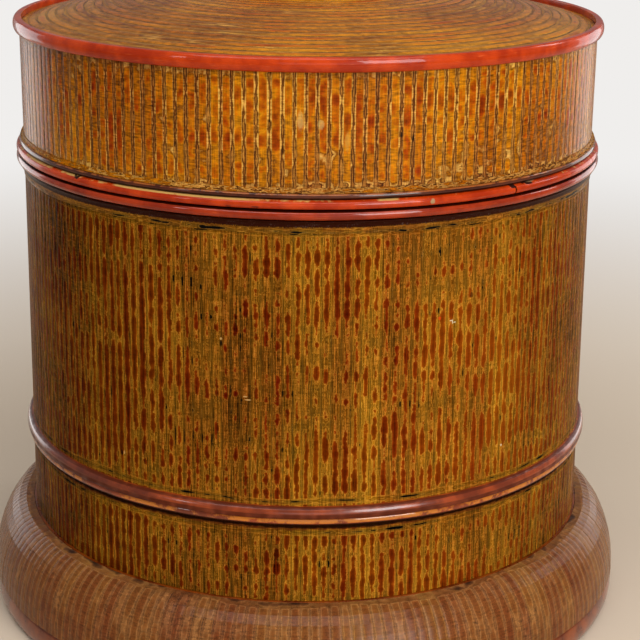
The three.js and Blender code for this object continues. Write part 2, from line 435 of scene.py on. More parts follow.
def make_slat_tree():
    tree, given, result = new_tree(
        "slat_wall", "GeometryNodeTree", {"Geometry": "Geometry", **SLAT_INPUTS},
        {"Geometry": "Geometry"})
    wall = run(tree, "GeometryNodeRealizeInstances", (ring_of(tree, one_slat(tree, given), given),))
    position = run(tree, "GeometryNodeInputPosition")
    x, y, z = separate(position)
    wave = noise(position, WAVE_SCALE, 1.0) * given["Unevenness"] * 2 / given["Top Radius"] + 1
    radius = (x * x + y * y).maths("SQRT") * wave
    angle = y.maths("ARCTAN2", x)
    angle = angle + sway(angle, wire_sine)
    wall = run(tree, "GeometryNodeSetPosition", {
        "Geometry": wall,
        "Position": combine(tree, radius * angle.maths("COSINE"), radius * angle.maths("SINE"), z)})
    sharp = run(tree, "GeometryNodeInputMeshEdgeAngle").maths("GREATER_THAN", SHARP_ANGLE)
    wall = run(tree, "GeometryNodeStoreNamedAttribute", {
        "Geometry": wall, "Name": "sharp_edge", "Value": sharp}, data_type="BOOLEAN", domain="EDGE")
    wall = run(tree, "GeometryNodeSetMaterial", {"Geometry": wall, "Material": given["Finish"]})
    plug(tree, wall, result.inputs["Geometry"])
    return tree


slat_tree = make_slat_tree()
print("slat tree has", len(slat_tree.nodes), "nodes")

# %% [markdown]
# The rubbed lacquer is the look of this bin. Coats of black, olive, ochre, yellow and dark red
# lie over one another on the ribbed wall, and rubbing cuts a level through them, so each colour
# shows along a line of equal height, like the contours of a map. The finish is made the same
# way. A group adds up one height: the crown of the slat, waves along it, bands that cross many
# slats, small beads, and grooves beside the rings. A material then cuts that height into colours.
# First come the sizes of these things, in metres, and the amounts that a finish may choose.

# %% Sizes in the lacquer
HEIGHT_INPUTS = (
    "Slats", "Level", "Crest", "Crest Power", "Bar", "Bar Edge", "Calm", "Coil Pitch", "Streak",
    "Streak Length", "Band", "Bead", "Groove A", "Groove B", "Groove C", "Groove Half", "Fill",
    "Sink", "Step", "Step Height", "Edge Calm", "Rung", "Thread", "Split", "Seed")
HEIGHT_OUTPUTS = ("Height", "Tone", "Patch", "Fibre", "Rungs")
NOWHERE = -1.0
NO_GROOVES = {"Groove A": NOWHERE, "Groove B": NOWHERE, "Groove C": NOWHERE, "Groove Half": MM}
BAR_SOFT = 0.06
BAND_LENGTH = 0.06
BAND_HEIGHT = 0.013
PATCH_SIZE = 0.11
BEAD_SIZE = 0.0068
RUNG_LENGTH = 0.006
RUNG_HEIGHT = 0.0013
DASH_LENGTH = 0.014
DASH_HEIGHT = 0.006
FIBRE_WIDTH = 0.0008
FIBRE_LENGTH = 0.024
FIBRE_SHIFT = 9.0
STEP_SPREAD = 0.009
STEP_SOFT = 0.0015
SINK_LENGTH = 0.0035
SPLIT_LENGTH = 0.03
SPLIT_HEIGHT = 0.011
SPLIT_CUT = (0.17, 0.25)
SPLIT_EDGE = (0.66, 0.95)
GROOVE_WANDER = 0.005
FILL_LEVEL = -0.10
FILL_SLOPE = 0.8
FILL_BEAD = 0.25
FILL_EDGE = (1.0, 0.55)
DASH_SPREAD = 2.4
DASH_EDGE = (0.7, 0.0)
FAR_OFFSET = 83.0
print("a finish may choose", len(HEIGHT_INPUTS), "amounts")

# %% [markdown]
# Each slat was rubbed a little differently, so the group first finds which slat a point lies on
# and how far it is from the crown. On the domed lid it finds the coil instead. Beside a ring the
# rubbing couldn't reach, so the lacquer there is sunk or fills the groove in broken dashes.

# %% Height of the lacquer coats


def stretched(position, across, up, shift=0.0):
    """Smooth noise whose spots are one size along the bin and another up it."""
    x, y, z = separate(position)
    spots = combine(position.tree, x / across, y / across, z / up + shift)
    return noise(spots, 1.0, 1.0)


def gap_to(z, height, wander):
    """How far a point is from a wavering line round the bin at that height."""
    return (z + wander * GROOVE_WANDER - height).maths("ABSOLUTE")


def lanes(given, position):
    """How far a point is from the crown of its slat, 1 at the joints, and the slat's own tone.
    With a coil pitch, the coils of the domed lid take the place of slats."""
    x, y, _ = separate(position)
    radius = (x * x + y * y).maths("SQRT")
    angle = y.maths("ARCTAN2", x)
    turn = (angle - sway(angle, wire_sine)) * given["Slats"] / FULL_TURN
    is_coil = given["Coil Pitch"].maths("GREATER_THAN", 0)
    lane = blend(is_coil, turn, radius / (given["Coil Pitch"] + 1 - is_coil))
    tone = random_of(lane.maths("FLOOR").maths("FLOORED_MODULO", given["Slats"]), given["Seed"])
    return (lane.maths("FRACT") * 2 - 1).maths("ABSOLUTE"), tone


def grooved(given, position, height, bar_calm, band, bead):
    """Sinks the height in a groove beside each ring, or fills the groove with dashes."""
    z = separate(position)[2]
    gap = gap_to(z, given["Groove A"], band)
    for name in ("Groove B", "Groove C"):
        gap = gap.maths("MINIMUM", gap_to(z, given[name], band))
    sunk = smooth(gap - given["Groove Half"], SINK_LENGTH, 0.0) * bar_calm ** 3
    height = height - sunk * given["Sink"]
    share = gap / given["Groove Half"]
    dash = stretched(position, DASH_LENGTH, DASH_HEIGHT, given["Seed"]) * DASH_SPREAD
    fill_and_shade = share * FILL_SLOPE + FILL_LEVEL + dash * smooth(share, *DASH_EDGE) + bead * FILL_BEAD
    return blend(smooth(share, *FILL_EDGE) * given["Fill"], height, fill_and_shade)


def make_height_group():
    tree, given, result = new_tree(
        "coat_height", "ShaderNodeTree", dict.fromkeys(HEIGHT_INPUTS, "Float"),
        dict.fromkeys(HEIGHT_OUTPUTS, "Float"))
    for name, value in NO_GROOVES.items():
        tree.interface.items_tree[name].default_value = value
    seed = given["Seed"]
    position = object_position(tree)
    z = separate(position)[2]
    across, tone = lanes(given, position)
    profile = 1 - across ** given["Crest Power"]
    bar = smooth(across - given["Bar Edge"], BAR_SOFT, -BAR_SOFT)
    crest = profile * given["Crest"] + bar * given["Bar"] + given["Level"]
    bar_calm = 1 - (1 - bar) * given["Calm"]
    calm = bar_calm * (1 - (1 - profile) * given["Edge Calm"])

    shift = combine(tree, tone * FAR_OFFSET, seed, tone * FAR_OFFSET)
    shifted = run(tree, "ShaderNodeVectorMath", (position, shift), operation="ADD")
    streak = noise(shifted, 1 / given["Streak Length"], 1.0, 0.6)
    band = stretched(position, BAND_LENGTH, BAND_HEIGHT, seed)
    patch = noise(position, 1 / PATCH_SIZE, 1.0)
    bead = noise(position, 1 / BEAD_SIZE, 3.0, 0.6)
    rungs = stretched(position, RUNG_LENGTH, RUNG_HEIGHT)
    fibre = stretched(position, FIBRE_WIDTH, FIBRE_LENGTH, tone * FIBRE_SHIFT)
    step_height = given["Step Height"]
    step = smooth(z - tone * STEP_SPREAD, step_height, step_height + STEP_SOFT)
    uneven = streak * given["Streak"] + (band + patch) * given["Band"] + bead * given["Bead"]
    uneven = uneven + rungs * given["Rung"] + step * given["Step"]
    height = crest + uneven * calm + fibre * given["Thread"]
    split = smooth(stretched(position, SPLIT_LENGTH, SPLIT_HEIGHT), *SPLIT_CUT)
    height = height - split * smooth(across, *SPLIT_EDGE) * given["Split"]
    height = grooved(given, position, height, bar_calm, band, bead)
    for label, wire in zip(HEIGHT_OUTPUTS, (height, tone, patch, fibre, rungs)):
        plug(tree, wire, result.inputs[label])
    return tree


height_group = make_height_group()
print("height group has", len(height_group.nodes), "nodes")

# %% [markdown]
# A coat list is a list of heights and colours, from the deepest to the highest. The Color Ramp
# that holds it runs from 0 to 1, so the height is first brought into that span. Two light lines
# in each list are the thin edges of a yellow coat between two darker ones.

# %% Coats of lacquer
HEIGHT_LOW = -0.65
HEIGHT_HIGH = 1.35
OCHRE_COATS = (
    (-0.36, (8, 7, 4)), (-0.28, (18, 13, 5)), (-0.245, (96, 66, 22)), (-0.22, (150, 106, 38)),
    (-0.18, (108, 70, 14)), (-0.06, (98, 64, 13)), (0.05, (106, 68, 13)), (0.11, (112, 68, 12)),
    (0.14, (158, 108, 34)), (0.18, (118, 74, 12)), (0.25, (110, 66, 9)), (0.28, (94, 54, 7)),
    (0.32, (122, 73, 11)), (0.37, (160, 106, 32)), (0.41, (128, 76, 11)), (0.46, (132, 80, 12)),
    (0.50, (168, 112, 38)), (0.53, (158, 98, 28)), (0.555, (134, 72, 12)), (0.585, (116, 50, 5)),
    (0.68, (102, 38, 3)), (0.92, (80, 24, 1)),
)
GOLDEN_COATS = (
    (-0.30, (18, 10, 6)), (-0.22, (60, 30, 9)), (-0.15, (100, 56, 15)), (-0.06, (146, 92, 32)),
    (0.00, (164, 110, 44)), (0.05, (140, 86, 28)), (0.085, (74, 35, 9)), (0.12, (84, 42, 11)),
    (0.16, (128, 78, 24)), (0.21, (184, 134, 60)), (0.31, (188, 138, 64)), (0.38, (160, 102, 28)),
    (0.44, (112, 60, 12)), (0.50, (138, 80, 10)), (0.60, (156, 92, 10)), (0.72, (176, 104, 10)),
    (0.87, (160, 80, 5)), (1.05, (136, 54, 4)), (1.25, (112, 38, 3)),
)
FOOT_COATS = (
    (-0.40, (52, 30, 18)), (-0.10, (92, 54, 28)), (0.05, (124, 80, 42)), (0.20, (114, 70, 34)),
    (0.40, (108, 64, 30)), (0.52, (140, 92, 50)), (0.62, (112, 64, 28)), (0.95, (94, 46, 18)),
)


def coat_colours(height, coats):
    """Cuts the height into the colours of the coats."""
    span = HEIGHT_HIGH - HEIGHT_LOW
    ramp = run(height.tree, "ShaderNodeValToRGB", ((height - HEIGHT_LOW) / span,))
    stops = ramp.socket.node.color_ramp.elements
    stops.remove(stops[0])
    for level, shade in coats:
        stops.new((level - HEIGHT_LOW) / span).color = colour(*shade)
    stops.remove(stops[len(stops) - 1])
    return ramp


print("coats", len(OCHRE_COATS), len(GOLDEN_COATS), len(FOOT_COATS))

# %% [markdown]
# Every finish takes the same few steps. It places a group with its own values, turns a colour
# towards red or yellow, mixes two colours by a mask, and raises a little relief.

# %% Steps of a finish


def tinted(base, hue, value):
    """Turns a colour a little towards red or yellow, and makes it darker or lighter."""
    values = {"Hue": hue, "Saturation": 1.0, "Value": value, "Color": base}
    return run(base.tree, "ShaderNodeHueSaturation", values)


def use_group(tree, group, **values):
    """Places a node group in a material with its own values, and gives its outputs."""
    node = tree.nodes.new("ShaderNodeGroup")
    node.node_tree = group
    for name, value in values.items():
        node.inputs[name.replace("_", " ").title()].default_value = value
    return [Wire(tree, socket) for socket in node.outputs]


def add_bump(tree, shader, height, strength, distance):
    values = {"Strength": strength, "Distance": distance, "Height": height}
    bump = run(tree, "ShaderNodeBump", values)
    plug(tree, bump, shader.inputs["Normal"])


def mix_colours(share, first, second):
    """From the first colour at share 0 to the second at share 1."""
    tree = share.tree
    node = tree.nodes.new("ShaderNodeMix")
    node.data_type = "RGBA"
    for value, label in ((share, "Factor"), (first, "A"), (second, "B")):
        socket = [s for s in node.inputs if s.name == label and s.enabled][0]
        plug(tree, value, socket)
    return Wire(tree, [s for s in node.outputs if s.enabled][0])


print("finish tools ready")

# %% [markdown]
# Some marks are placed one by one, because the eye finds them at once: black dashes where
# lacquer stayed in a joint, pale chips, and a few worn crowns. A mark on a wall is placed by its
# slat, counted from the front to the right. A whole number is a joint and a half is a crown.
# A kind of mark has a colour, a strength and its spots. A spot has its place round the bin, its
# height, half its width and half its height, in mm.

# %% Marks in the lacquer
SPOT_RAGGED = 2.6
SPOT_GRAIN = 0.0035
SPOT_EDGE = (1.5, 0.3)
FAR_AWAY = 9.0
BLACK = (15, 11, 5)
WALL_MARKS = (
    (BLACK, 0.95, (
        (-22, 231, 0.6, 4.5), (-21, 236, 0.6, 6.1), (-13, 212, 0.7, 9.1), (-12, 211, 0.6, 7.6),
        (-11, 214, 0.7, 6.1), (-10, 213, 0.8, 3.8), (-9, 213, 0.8, 5.3), (-7, 254, 0.5, 5.3),
        (-6, 298, 0.7, 2.3), (-6, 288, 0.7, 2.3), (-3, 300, 0.7, 2.3), (-2, 254, 0.8, 2.7),
        (-1, 254, 0.8, 2.7), (-11, 275, 0.7, 3.8), (-12, 281, 0.5, 6.1), (-2, 209, 0.7, 2.3),
        (17, 261, 0.7, 4.5), (-5, 359, 0.5, 5.3), (-8, 291, 0.9, 2.4), (-19.6, 187, 1.1, 2.4),
        (-5.9, 247.3, 1.1, 1.2))),
    ((190, 148, 88), 0.8, ((-8, 294.6, 0.9, 1.0), (-5.24, 247.8, 2.6, 0.5),
                           (-5.51, 250.2, 1.8, 0.5), (-19.26, 187.6, 0.7, 1.6))),
    ((206, 190, 150), 0.85, ((15.48, 304.6, 1.3, 0.6), (15.85, 303.0, 1.2, 0.5),
                             (15.64, 303.8, 0.5, 2.0), (22.33, 192, 0.8, 0.9))),
    ((196, 62, 16), 0.8, ((14.16, 307.9, 1.3, 1.5),)),
    ((58, 20, 6), 0.8, ((17.66, 322.5, 1.5, 2.2),)),
)
LID_MARKS = (
    (BLACK, 0.95, ((8, 450.2, 0.7, 2.4), (9, 447.6, 0.9, 3.0), (-11, 439.8, 0.7, 2.6),
                   (-3, 461.2, 0.5, 1.2), (-2, 440.4, 0.5, 4.0))),
    ((204, 176, 104), 0.40, ((-0.5, 461.4, 2.4, 7.0), (1.3, 459.0, 2.4, 3.4))),
    ((200, 150, 60), 0.5, ((3.5, 446.5, 2.2, 6.5), (15.5, 418.8, 2.6, 3.0))),
)


def joint_angle(number, slats):
    """Degrees from the front to the right, where joint 0 is the last one before the front."""
    even = (number + math.floor(-slats / 4)) * FULL_TURN / slats
    return math.degrees(even + sway(even + sway(even))) + 90


def on_slats(slats, marks):
    """Marks placed by slat, as marks placed by degrees from the front."""
    return [(shade, strength, [(joint_angle(number, slats), *size) for number, *size in spots])
            for shade, strength, spots in marks]


def add_marks(position, base, radius, marks):
    """Lays spots over a colour, at degrees from the front to the right."""
    x, y, z = separate(position)
    front = y.maths("LESS_THAN", 0)
    ragged = noise(position, 1 / SPOT_GRAIN, 3.0, 0.75) * SPOT_RAGGED
    for shade, strength, spots in marks:
        nearest = FAR_AWAY + x * 0
        for angle, height, half_width, half_height in spots:
            turn = math.radians(angle)
            across = (x - radius * math.sin(turn)) / (half_width * MM * math.cos(turn))
            up = (z - height * MM) / (half_height * MM)
            nearest = nearest.maths("MINIMUM", across * across + up * up)
        share = smooth(nearest + ragged, *SPOT_EDGE) * front * strength
        base = mix_colours(share, base, colour(*shade))
    return base


print("first mark at", round(joint_angle(WALL_MARKS[0][2][0][0], BODY_SLATS), 2), "degrees")

# %% [markdown]
# The finish of a slat wall cuts the height into coats and gives each slat its own tone. A painted
# sheen makes the wall paler a little to the right of the front, and painted shade darkens both
# sides and the wall below the ring. The top coat is thin at the sides too. Under a ring runs a
# painted shadow, a dark line over a brown band.

# %% Finish of a slat wall
SLAT_MARK_RADIUS = 0.2415
TOP_COAT = 0.575
THIN_MIDDLE = 0.03
THIN_SPAN = (0.05, 0.19)
# Painted sheen: where the paler band right of the front lies, how far it reaches and how strong it
# is. Painted shade: the darker left and right sides and the wall below the ring.
PAINTED_SHEEN_MIDDLE = 0.09
PAINTED_SHEEN_SPAN = (0.10, 0.02)
PAINTED_SHEEN_SHARE = 0.17
PAINTED_SHADE_LEFT = (-0.08, -0.21)
PAINTED_SHADE_LEFT_SHARE = 0.32
PAINTED_SHADE_RIGHT = (0.14, 0.21)
PAINTED_SHADE_RIGHT_SHARE = 0.12
PAINTED_SHADE_LOW_SHARE = 0.06
# Colour of the painted shade in the hollow under the rim, and of the grey fibres in it.
HOLLOW_PAINTED_SHADE = colour(44, 12, 3)
GREY_FIBRE = colour(96, 78, 70)
# Painted shadow under the ring: the reach, share and colour of a brown band and of a near-black
# line.
RING_PAINTED_SHADOW = ((5.2 * MM, 3.6 * MM, 0.8, (78, 32, 9)), (3.4 * MM, 2.6 * MM, 0.9, (18, 7, 3)))


def painted_side_light(x, up):
    """Painted light and shade as a change of value: a painted sheen a little to the right of the
    front, and painted shade on both sides and below the ring.
    """
    pale = smooth((x - PAINTED_SHEEN_MIDDLE).maths("ABSOLUTE"), *PAINTED_SHEEN_SPAN) * PAINTED_SHEEN_SHARE
    dark = smooth(x, *PAINTED_SHADE_LEFT) * PAINTED_SHADE_LEFT_SHARE + smooth(x, *PAINTED_SHADE_RIGHT) * PAINTED_SHADE_RIGHT_SHARE
    return pale - dark - smooth(up, RING_LOW + 2 * MM, RING_LOW) * PAINTED_SHADE_LOW_SHARE


def slat_lacquer(name, coats, spread, gloss, shade_above=None, thinned=0.0, middle=1.0,
                 rungs_share=1.2, fibre_share=1.3, bump=0.35, marks=(), ring_above=None,
                 **height_values):
    """Rubbed lacquer. Above a height it is painted near black as shade, with a few grey fibres, as
    in the hollow under the rim. Thinned takes the top coat down on both sides of the front, and
    also turns on the painted sheen and side shade. Under a ring it paints the ring's shadow."""
    material, tree, shader = new_material(name, 0.3)
    height, tone, patch, fibre, rungs = use_group(tree, height_group, **height_values)
    position = object_position(tree)
    x, _, up = separate(position)
    side = smooth((x + THIN_MIDDLE).maths("ABSOLUTE"), *THIN_SPAN) * thinned
    rubbed = height - (height - TOP_COAT).maths("MAXIMUM", 0) * side
    value = middle + (tone - 0.5) * spread + patch * 0.9 + fibre * fibre_share
    value = value + rungs * rungs_share
    # Painted light and shade: a sheen right of the front, and shade on the sides and below the
    # ring.
    if thinned:
        value = value + painted_side_light(x, up)
    base = tinted(coat_colours(rubbed, coats), 0.5 + patch * 0.03 + (tone - 0.5) * 0.012, value)
    # Painted shade: above shade_above the colour turns near black, with a few grey fibres, for the
    # shade in the hollow under the rim hoop.
    if shade_above:
        z = up + patch * 0.002 + fibre * 0.003
        shadow = smooth(z, shade_above, shade_above + 1.2 * MM)
        grey = smooth(fibre + rungs * 0.6 + tone * 0.06, 0.12, 0.4) * 0.5
        base = mix_colours(shadow, base, mix_colours(grey, HOLLOW_PAINTED_SHADE, GREY_FIBRE))
    # Painted shadow: a brown band and a near-black line on the wall just under the ring.
    if ring_above:
        drop = (up + patch * 0.002 - ring_above + 0.5 * MM).maths("ABSOLUTE") + rungs * 0.003
        for start, end, share, shade in RING_PAINTED_SHADOW:
            base = mix_colours(smooth(drop, start, end) * share, base, colour(*shade))
    base = add_marks(position, base, SLAT_MARK_RADIUS, marks)
    plug(tree, base, shader.inputs["Base Color"])
    plug(tree, 0.22 + smooth(height, 0.9, -0.2) * 0.16, shader.inputs["Roughness"])
    shader.inputs["IOR"].default_value = gloss
    add_bump(tree, shader, height, bump, 0.25 * MM)
    return material


print("slat finish ready")

# %% [markdown]
# The body's slats are ochre with dark joints, and a dark red top coat is left on their crowns.
# The lid's slats are golden and flatter, with a bar of lacquer down the middle of each. The
# foot's slats are brown, with less rubbed away.

# %% Finishes of the three walls
# The body's wall takes the painted sheen and side shade through thinned, and the ring's painted
# shadow through ring_above.
ochre_slats = slat_lacquer(
    "ochre_slats", OCHRE_COATS, 0.28, 1.05, thinned=0.85, middle=0.93, rungs_share=0.7,
    fibre_share=2.3, marks=on_slats(BODY_SLATS, WALL_MARKS), ring_above=RING_LOW,
    slats=BODY_SLATS, crest=0.68, crest_power=1.45, edge_calm=0.5, streak=0.85,
    streak_length=0.015, band=1.2, bead=1.25, rung=0.2, thread=0.5, split=0.5, seed=3.0,
    fill=1.0, sink=0.1, groove_half=3.6 * MM, groove_a=FILLET_LOW,
    groove_b=RING_TOP + 3.5 * MM, groove_c=RING_LOW - 7 * MM)
golden_slats = slat_lacquer(
    "golden_slats", GOLDEN_COATS, 0.26, 1.15, rungs_share=1.5, fibre_share=1.1, bump=0.15,
    marks=on_slats(LID_SLATS, LID_MARKS), slats=LID_SLATS, crest=0.25, crest_power=2.0,
    bar=0.44, bar_edge=0.60, calm=0.7, streak=1.2, streak_length=0.012, band=0.6, bead=0.9,
    rung=0.2, thread=0.12, seed=11.0, sink=0.32, groove_half=1.8 * MM, groove_a=COVE_TOP,
    groove_b=LID_TOP - 1 * MM, step=0.14, step_height=COVE_TOP + 22 * MM)
foot_slats_lacquer = slat_lacquer(
    "foot_slats", FOOT_COATS, 0.2, 1.2, slats=BODY_SLATS, crest=0.7, crest_power=3.0,
    streak=0.6, streak_length=0.05, band=0.5, bead=0.2, rung=0.1, thread=0.2, seed=19.0,
    fill=1.0, groove_half=2 * MM, groove_a=FOOT_TOP)
print("finishes", ochre_slats.name, golden_slats.name, foot_slats_lacquer.name)

# %% [markdown]
# The bars are now made. A throwaway object carries the Geometry Nodes modifier, its inputs are
# set by identifier, and the evaluated result is kept as a plain mesh. A smooth shell stands
# behind the bars, because the real slats are laid on a coiled core.

# %% Build the slat walls
SLAT_THICKNESS = 3.4 * MM
SLAT_RELIEF = 0.22 * MM
SLAT_JOINT = 0.005
SLAT_UNEVENNESS = 0.22 * MM


def grow_slats(name, **values):
    """Runs the slat tree once and keeps its result as a plain mesh."""
    holder = place(bpy.data.meshes.new(name), name, Matrix.Identity(4))
    modifier = holder.modifiers.new("slats", "NODES")
    modifier.node_group = slat_tree
    identifiers = {item.name: item.identifier for item in slat_tree.interface.items_tree}
    for label, value in values.items():
        modifier[identifiers[label.replace("_", " ").title()]] = value
    evaluated = holder.evaluated_get(bpy.context.evaluated_depsgraph_get())
    mesh = bpy.data.meshes.new_from_object(evaluated)
    holder.modifiers.remove(modifier)
    holder.data = mesh
    mesh.name = name
    print(name, len(mesh.polygons), "faces")
    return holder


FOOT_NECK = WALL_OUT + 2 * MM
body_slats = grow_slats(
    "body_slats", slats=BODY_SLATS, rows=6, seed=1, bottom_radius=WALL_OUT, top_radius=WALL_OUT_TOP,
    bottom_height=WALL_LOW, top_height=WALL_TOP, thickness=SLAT_THICKNESS, relief=SLAT_RELIEF,
    joint=SLAT_JOINT, bow=0.0, unevenness=SLAT_UNEVENNESS, finish=ochre_slats)
lid_slats = grow_slats(
    "lid_slats", slats=LID_SLATS, rows=4, seed=2, bottom_radius=LID_OUT, top_radius=LID_OUT,
    bottom_height=LID_LOW, top_height=LID_TOP, thickness=2.4 * MM, relief=0.12 * MM,
    joint=SLAT_JOINT, bow=0.0, unevenness=SLAT_UNEVENNESS, finish=golden_slats)
foot_slats = grow_slats(
    "foot_slats", slats=BODY_SLATS, rows=9, seed=3,
    bottom_radius=FOOT_OUT - SLAT_UNEVENNESS, top_radius=FOOT_NECK,
    bottom_height=FOOT_LOW, top_height=FOOT_TOP - SLAT_UNEVENNESS,
    thickness=3 * MM, relief=0.14 * MM, joint=SLAT_JOINT, bow=1.0,
    unevenness=SLAT_UNEVENNESS, finish=foot_slats_lacquer)

# %% [markdown]
# Every other piece of the bin is turned: a section swept once round the axis. A section is a closed
# list of points, radius and height, and its corners are softened as a scraper leaves them. Each
# point also carries how far it wears, which is kept on the mesh for the finish to read; below zero
# it marks painted shade instead. A little unevenness goes in too, because no hoop of split bamboo
# runs quite true.

# %% Sections


def softened(points, radius, steps=3):
    """Rounds each corner of a closed section. A point is radius, height and wear at its corner. A
    wear below zero is no wear: the finish paints shade there, and dark reflections on the lower
    ring's shoulder.
    """
    result = []
    count = len(points)
    for number, (r, z, wear) in enumerate(points):
        here = Vector((r, z))
        before = Vector(points[number - 1][:2]) - here
        after = Vector(points[(number + 1) % count][:2]) - here
        cut = min(radius, before.length / 2.2, after.length / 2.2)
        if r == 0 or cut < 0.02 * MM:
            result.append((r, z, wear))
            continue
        start = before.normalized() * cut
        end = after.normalized() * cut
        for step in range(steps + 1):
            t = step / steps
            spot = here + start * (1 - t) ** 2 + end * t ** 2
            result.append((spot.x, spot.y, wear * 4 * t * (1 - t)))
    return result


def arc(centre_r, centre_z, width, height, start, end, steps=8, wear=0.0):
    """Points along an ellipse between two angles in degrees."""
    points = []
    for step in range(steps + 1):
        angle = math.radians(start + (end - start) * step / steps)
        points.append((
            centre_r + width * math.cos(angle), centre_z + height * math.sin(angle), wear))
    return points


print("a half round has", len(arc(0, 0, 1, 1, 0, 180)), "points")

# %% [markdown]
# A chip is a shallow hollow cut in a hoop, with more points round it so that its edge is crisp.
# A hoop that was bent and lashed also strays a little in and out and up and down, and wander
# gives that as a few waves that close on themselves.

# %% Chips and unevenness


class Chip:
    """A spot where the lacquer or the wood is gone. Its angle runs from the front to the right."""

    def __init__(self, angle, height, half_width, half_height, depth):
        self.angle = math.radians(angle) - math.pi / 2
        self.height = height
        self.half_width = half_width
        self.half_height = half_height
        self.depth = depth

    def share(self, angle, radius, z):
        """1 in the middle of the chip, and 0 outside it."""
        turn = (angle - self.angle + math.pi) % FULL_TURN - math.pi
        across = turn * radius / self.half_width
        up = (z - self.height) / self.half_height
        return max(0.0, 1 - across ** 2) * max(0.0, 1 - up ** 4)

    def angles(self, radius):
        """Extra places round the ring, so that the mesh can follow the chip."""
        return [self.angle + self.half_width / radius * step / 5 for step in range(-6, 7)]


def from_front(angle):
    """An angle round the bin as degrees from the front to the right."""
    return (math.degrees(angle) + 270) % 360 - 180


def wander(angle, seed):
    """A slow, uneven wave round the bin, from about -1 to 1, that closes on itself."""
    source = random.Random(seed)
    waves = [(rounds, source.uniform(0, FULL_TURN)) for rounds in (2, 5, 9, 17)]
    return sum(math.sin(k * angle + phase) / (1 + k / 6) for k, phase in waves) / 2.2


print("a hoop strays by", round(wander(0.0, 1), 2), "at one place of it")

# %% [markdown]
# The sweep goes in three steps: the points at every angle, the faces between one row of points
# and the next, and the mesh with its finish.

# %% Turn a section round the axis
TURN_SIDES = 288


def swept_points(section, angles, unevenness, seed, chips, rubbed):
    """The numbers of the points row by row, their places, and how worn and chipped each is."""
    rows, places, wears, chipped = [], [], [], []
    for r, z, wear in section:
        row = []
        for angle in angles if r > 0 else angles[:1]:
            share = max((chip.share(angle, r, z) for chip in chips), default=0.0)
            depth = max((chip.share(angle, r, z) * chip.depth for chip in chips), default=0.0)
            wave = unevenness * wander(angle, seed) * (r > 0)
            radius = r + wave - depth
            lift = unevenness * 0.6 * wander(angle, seed + 1) * (r > 0 and z > MM)
            row.append(len(places))
            places.append((radius * math.cos(angle), radius * math.sin(angle), z + lift))
            # A wear below zero is kept as it is, and the finish paints shade from it.
            wears.append(wear * rubbed(angle) if rubbed and wear > 0 else wear)
            chipped.append(share)
        rows.append(row if r > 0 else row * len(angles))
    return rows, places, wears, chipped


def swept_faces(section, rows):
    """Faces between each row and the next, and the place of each corner on a flat sheet."""
    lengths = [0.0]
    for number, point in enumerate(section):
        following = section[(number + 1) % len(section)]
        lengths.append(lengths[-1] + math.dist(point[:2], following[:2]))
    faces, uvs = [], []
    for i, row in enumerate(rows):
        above = rows[(i + 1) % len(rows)]
        v = (lengths[i] / lengths[-1], lengths[i + 1] / lengths[-1])
        for j in range(len(row)):
            k = (j + 1) % len(row)
            u = (j / len(row), (j + 1) / len(row))
            corners = [
                (row[j], (u[0], v[0])), (row[k], (u[1], v[0])),
                (above[k], (u[1], v[1])), (above[j], (u[0], v[1]))]
            kept = [c for n, c in enumerate(corners) if c[0] != corners[n - 1][0]]
            if len({c[0] for c in kept}) > 2:
                faces.append([c[0] for c in kept])
                uvs.extend(value for c in kept for value in c[1])
    return faces, uvs


def turned(name, section, finish, unevenness=0.0, seed=0, chips=(), rubbed=None):
    """Sweeps a closed section, given anticlockwise, round the Z axis. Rubbed gives the share of
    the wear at an angle."""
    reach = max(point[0] for point in section)
    angles = {FULL_TURN * side / TURN_SIDES for side in range(TURN_SIDES)}
    for chip in chips:
        angles |= {angle % FULL_TURN for angle in chip.angles(reach)}
    rows, places, wears, chipped = swept_points(
        section, sorted(angles), unevenness, seed, chips, rubbed)
    faces, uvs = swept_faces(section, rows)
    mesh = bpy.data.meshes.new(name)
    mesh.from_pydata(places, [], faces)
    mesh.uv_layers.new(name="UVMap").data.foreach_set("uv", uvs)
    mesh.attributes.new("wear", "FLOAT", "POINT").data.foreach_set("value", wears)
    mesh.attributes.new("chip", "FLOAT", "POINT").data.foreach_set("value", chipped)
    mesh.shade_smooth()
    mesh.set_sharp_from_angle(angle=SHARP_ANGLE)
    mesh.materials.append(finish)
    print(name, len(mesh.polygons), "faces")
    return place(mesh, name, Matrix.Identity(4))


print("turning tools ready")

# %% [markdown]
# The plain lacquers of the hoops are red, brown and nearly black. Each has a cloudy base, wear
# that opens on the softened edges, and fine scratches that run round the hoop. Chips go through
# to the pale ground or to the dark wood.

# %% Wear of the hoops
HOOP_MASKS = ("Cloud", "Worn", "Chip", "Scratch", "Painted Shading")
CLOUD_SIZE = 0.024
SCRATCH_LENGTH = 0.012
SCRATCH_HEIGHT = 0.0007
WORN_GRAIN = 0.009
CHIP_GRAIN = 0.0016
PAINTED_SHADING_GRAIN = 0.006
CLOUD_CUT = (0.36, 0.64)
WORN_CUT = (0.55, 0.68)
CHIP_CUT = (0.3, 0.42)
SCRATCH_CUT = (0.14, 0.26)
PAINTED_SHADING_CUT = (-0.25, -0.8)
HOOP_GLOSS = 1.15
HOOP_MARK_RADIUS = 0.2472


def attribute(tree, name):
    return run(tree, "ShaderNodeAttribute", output="Fac", attribute_name=name)


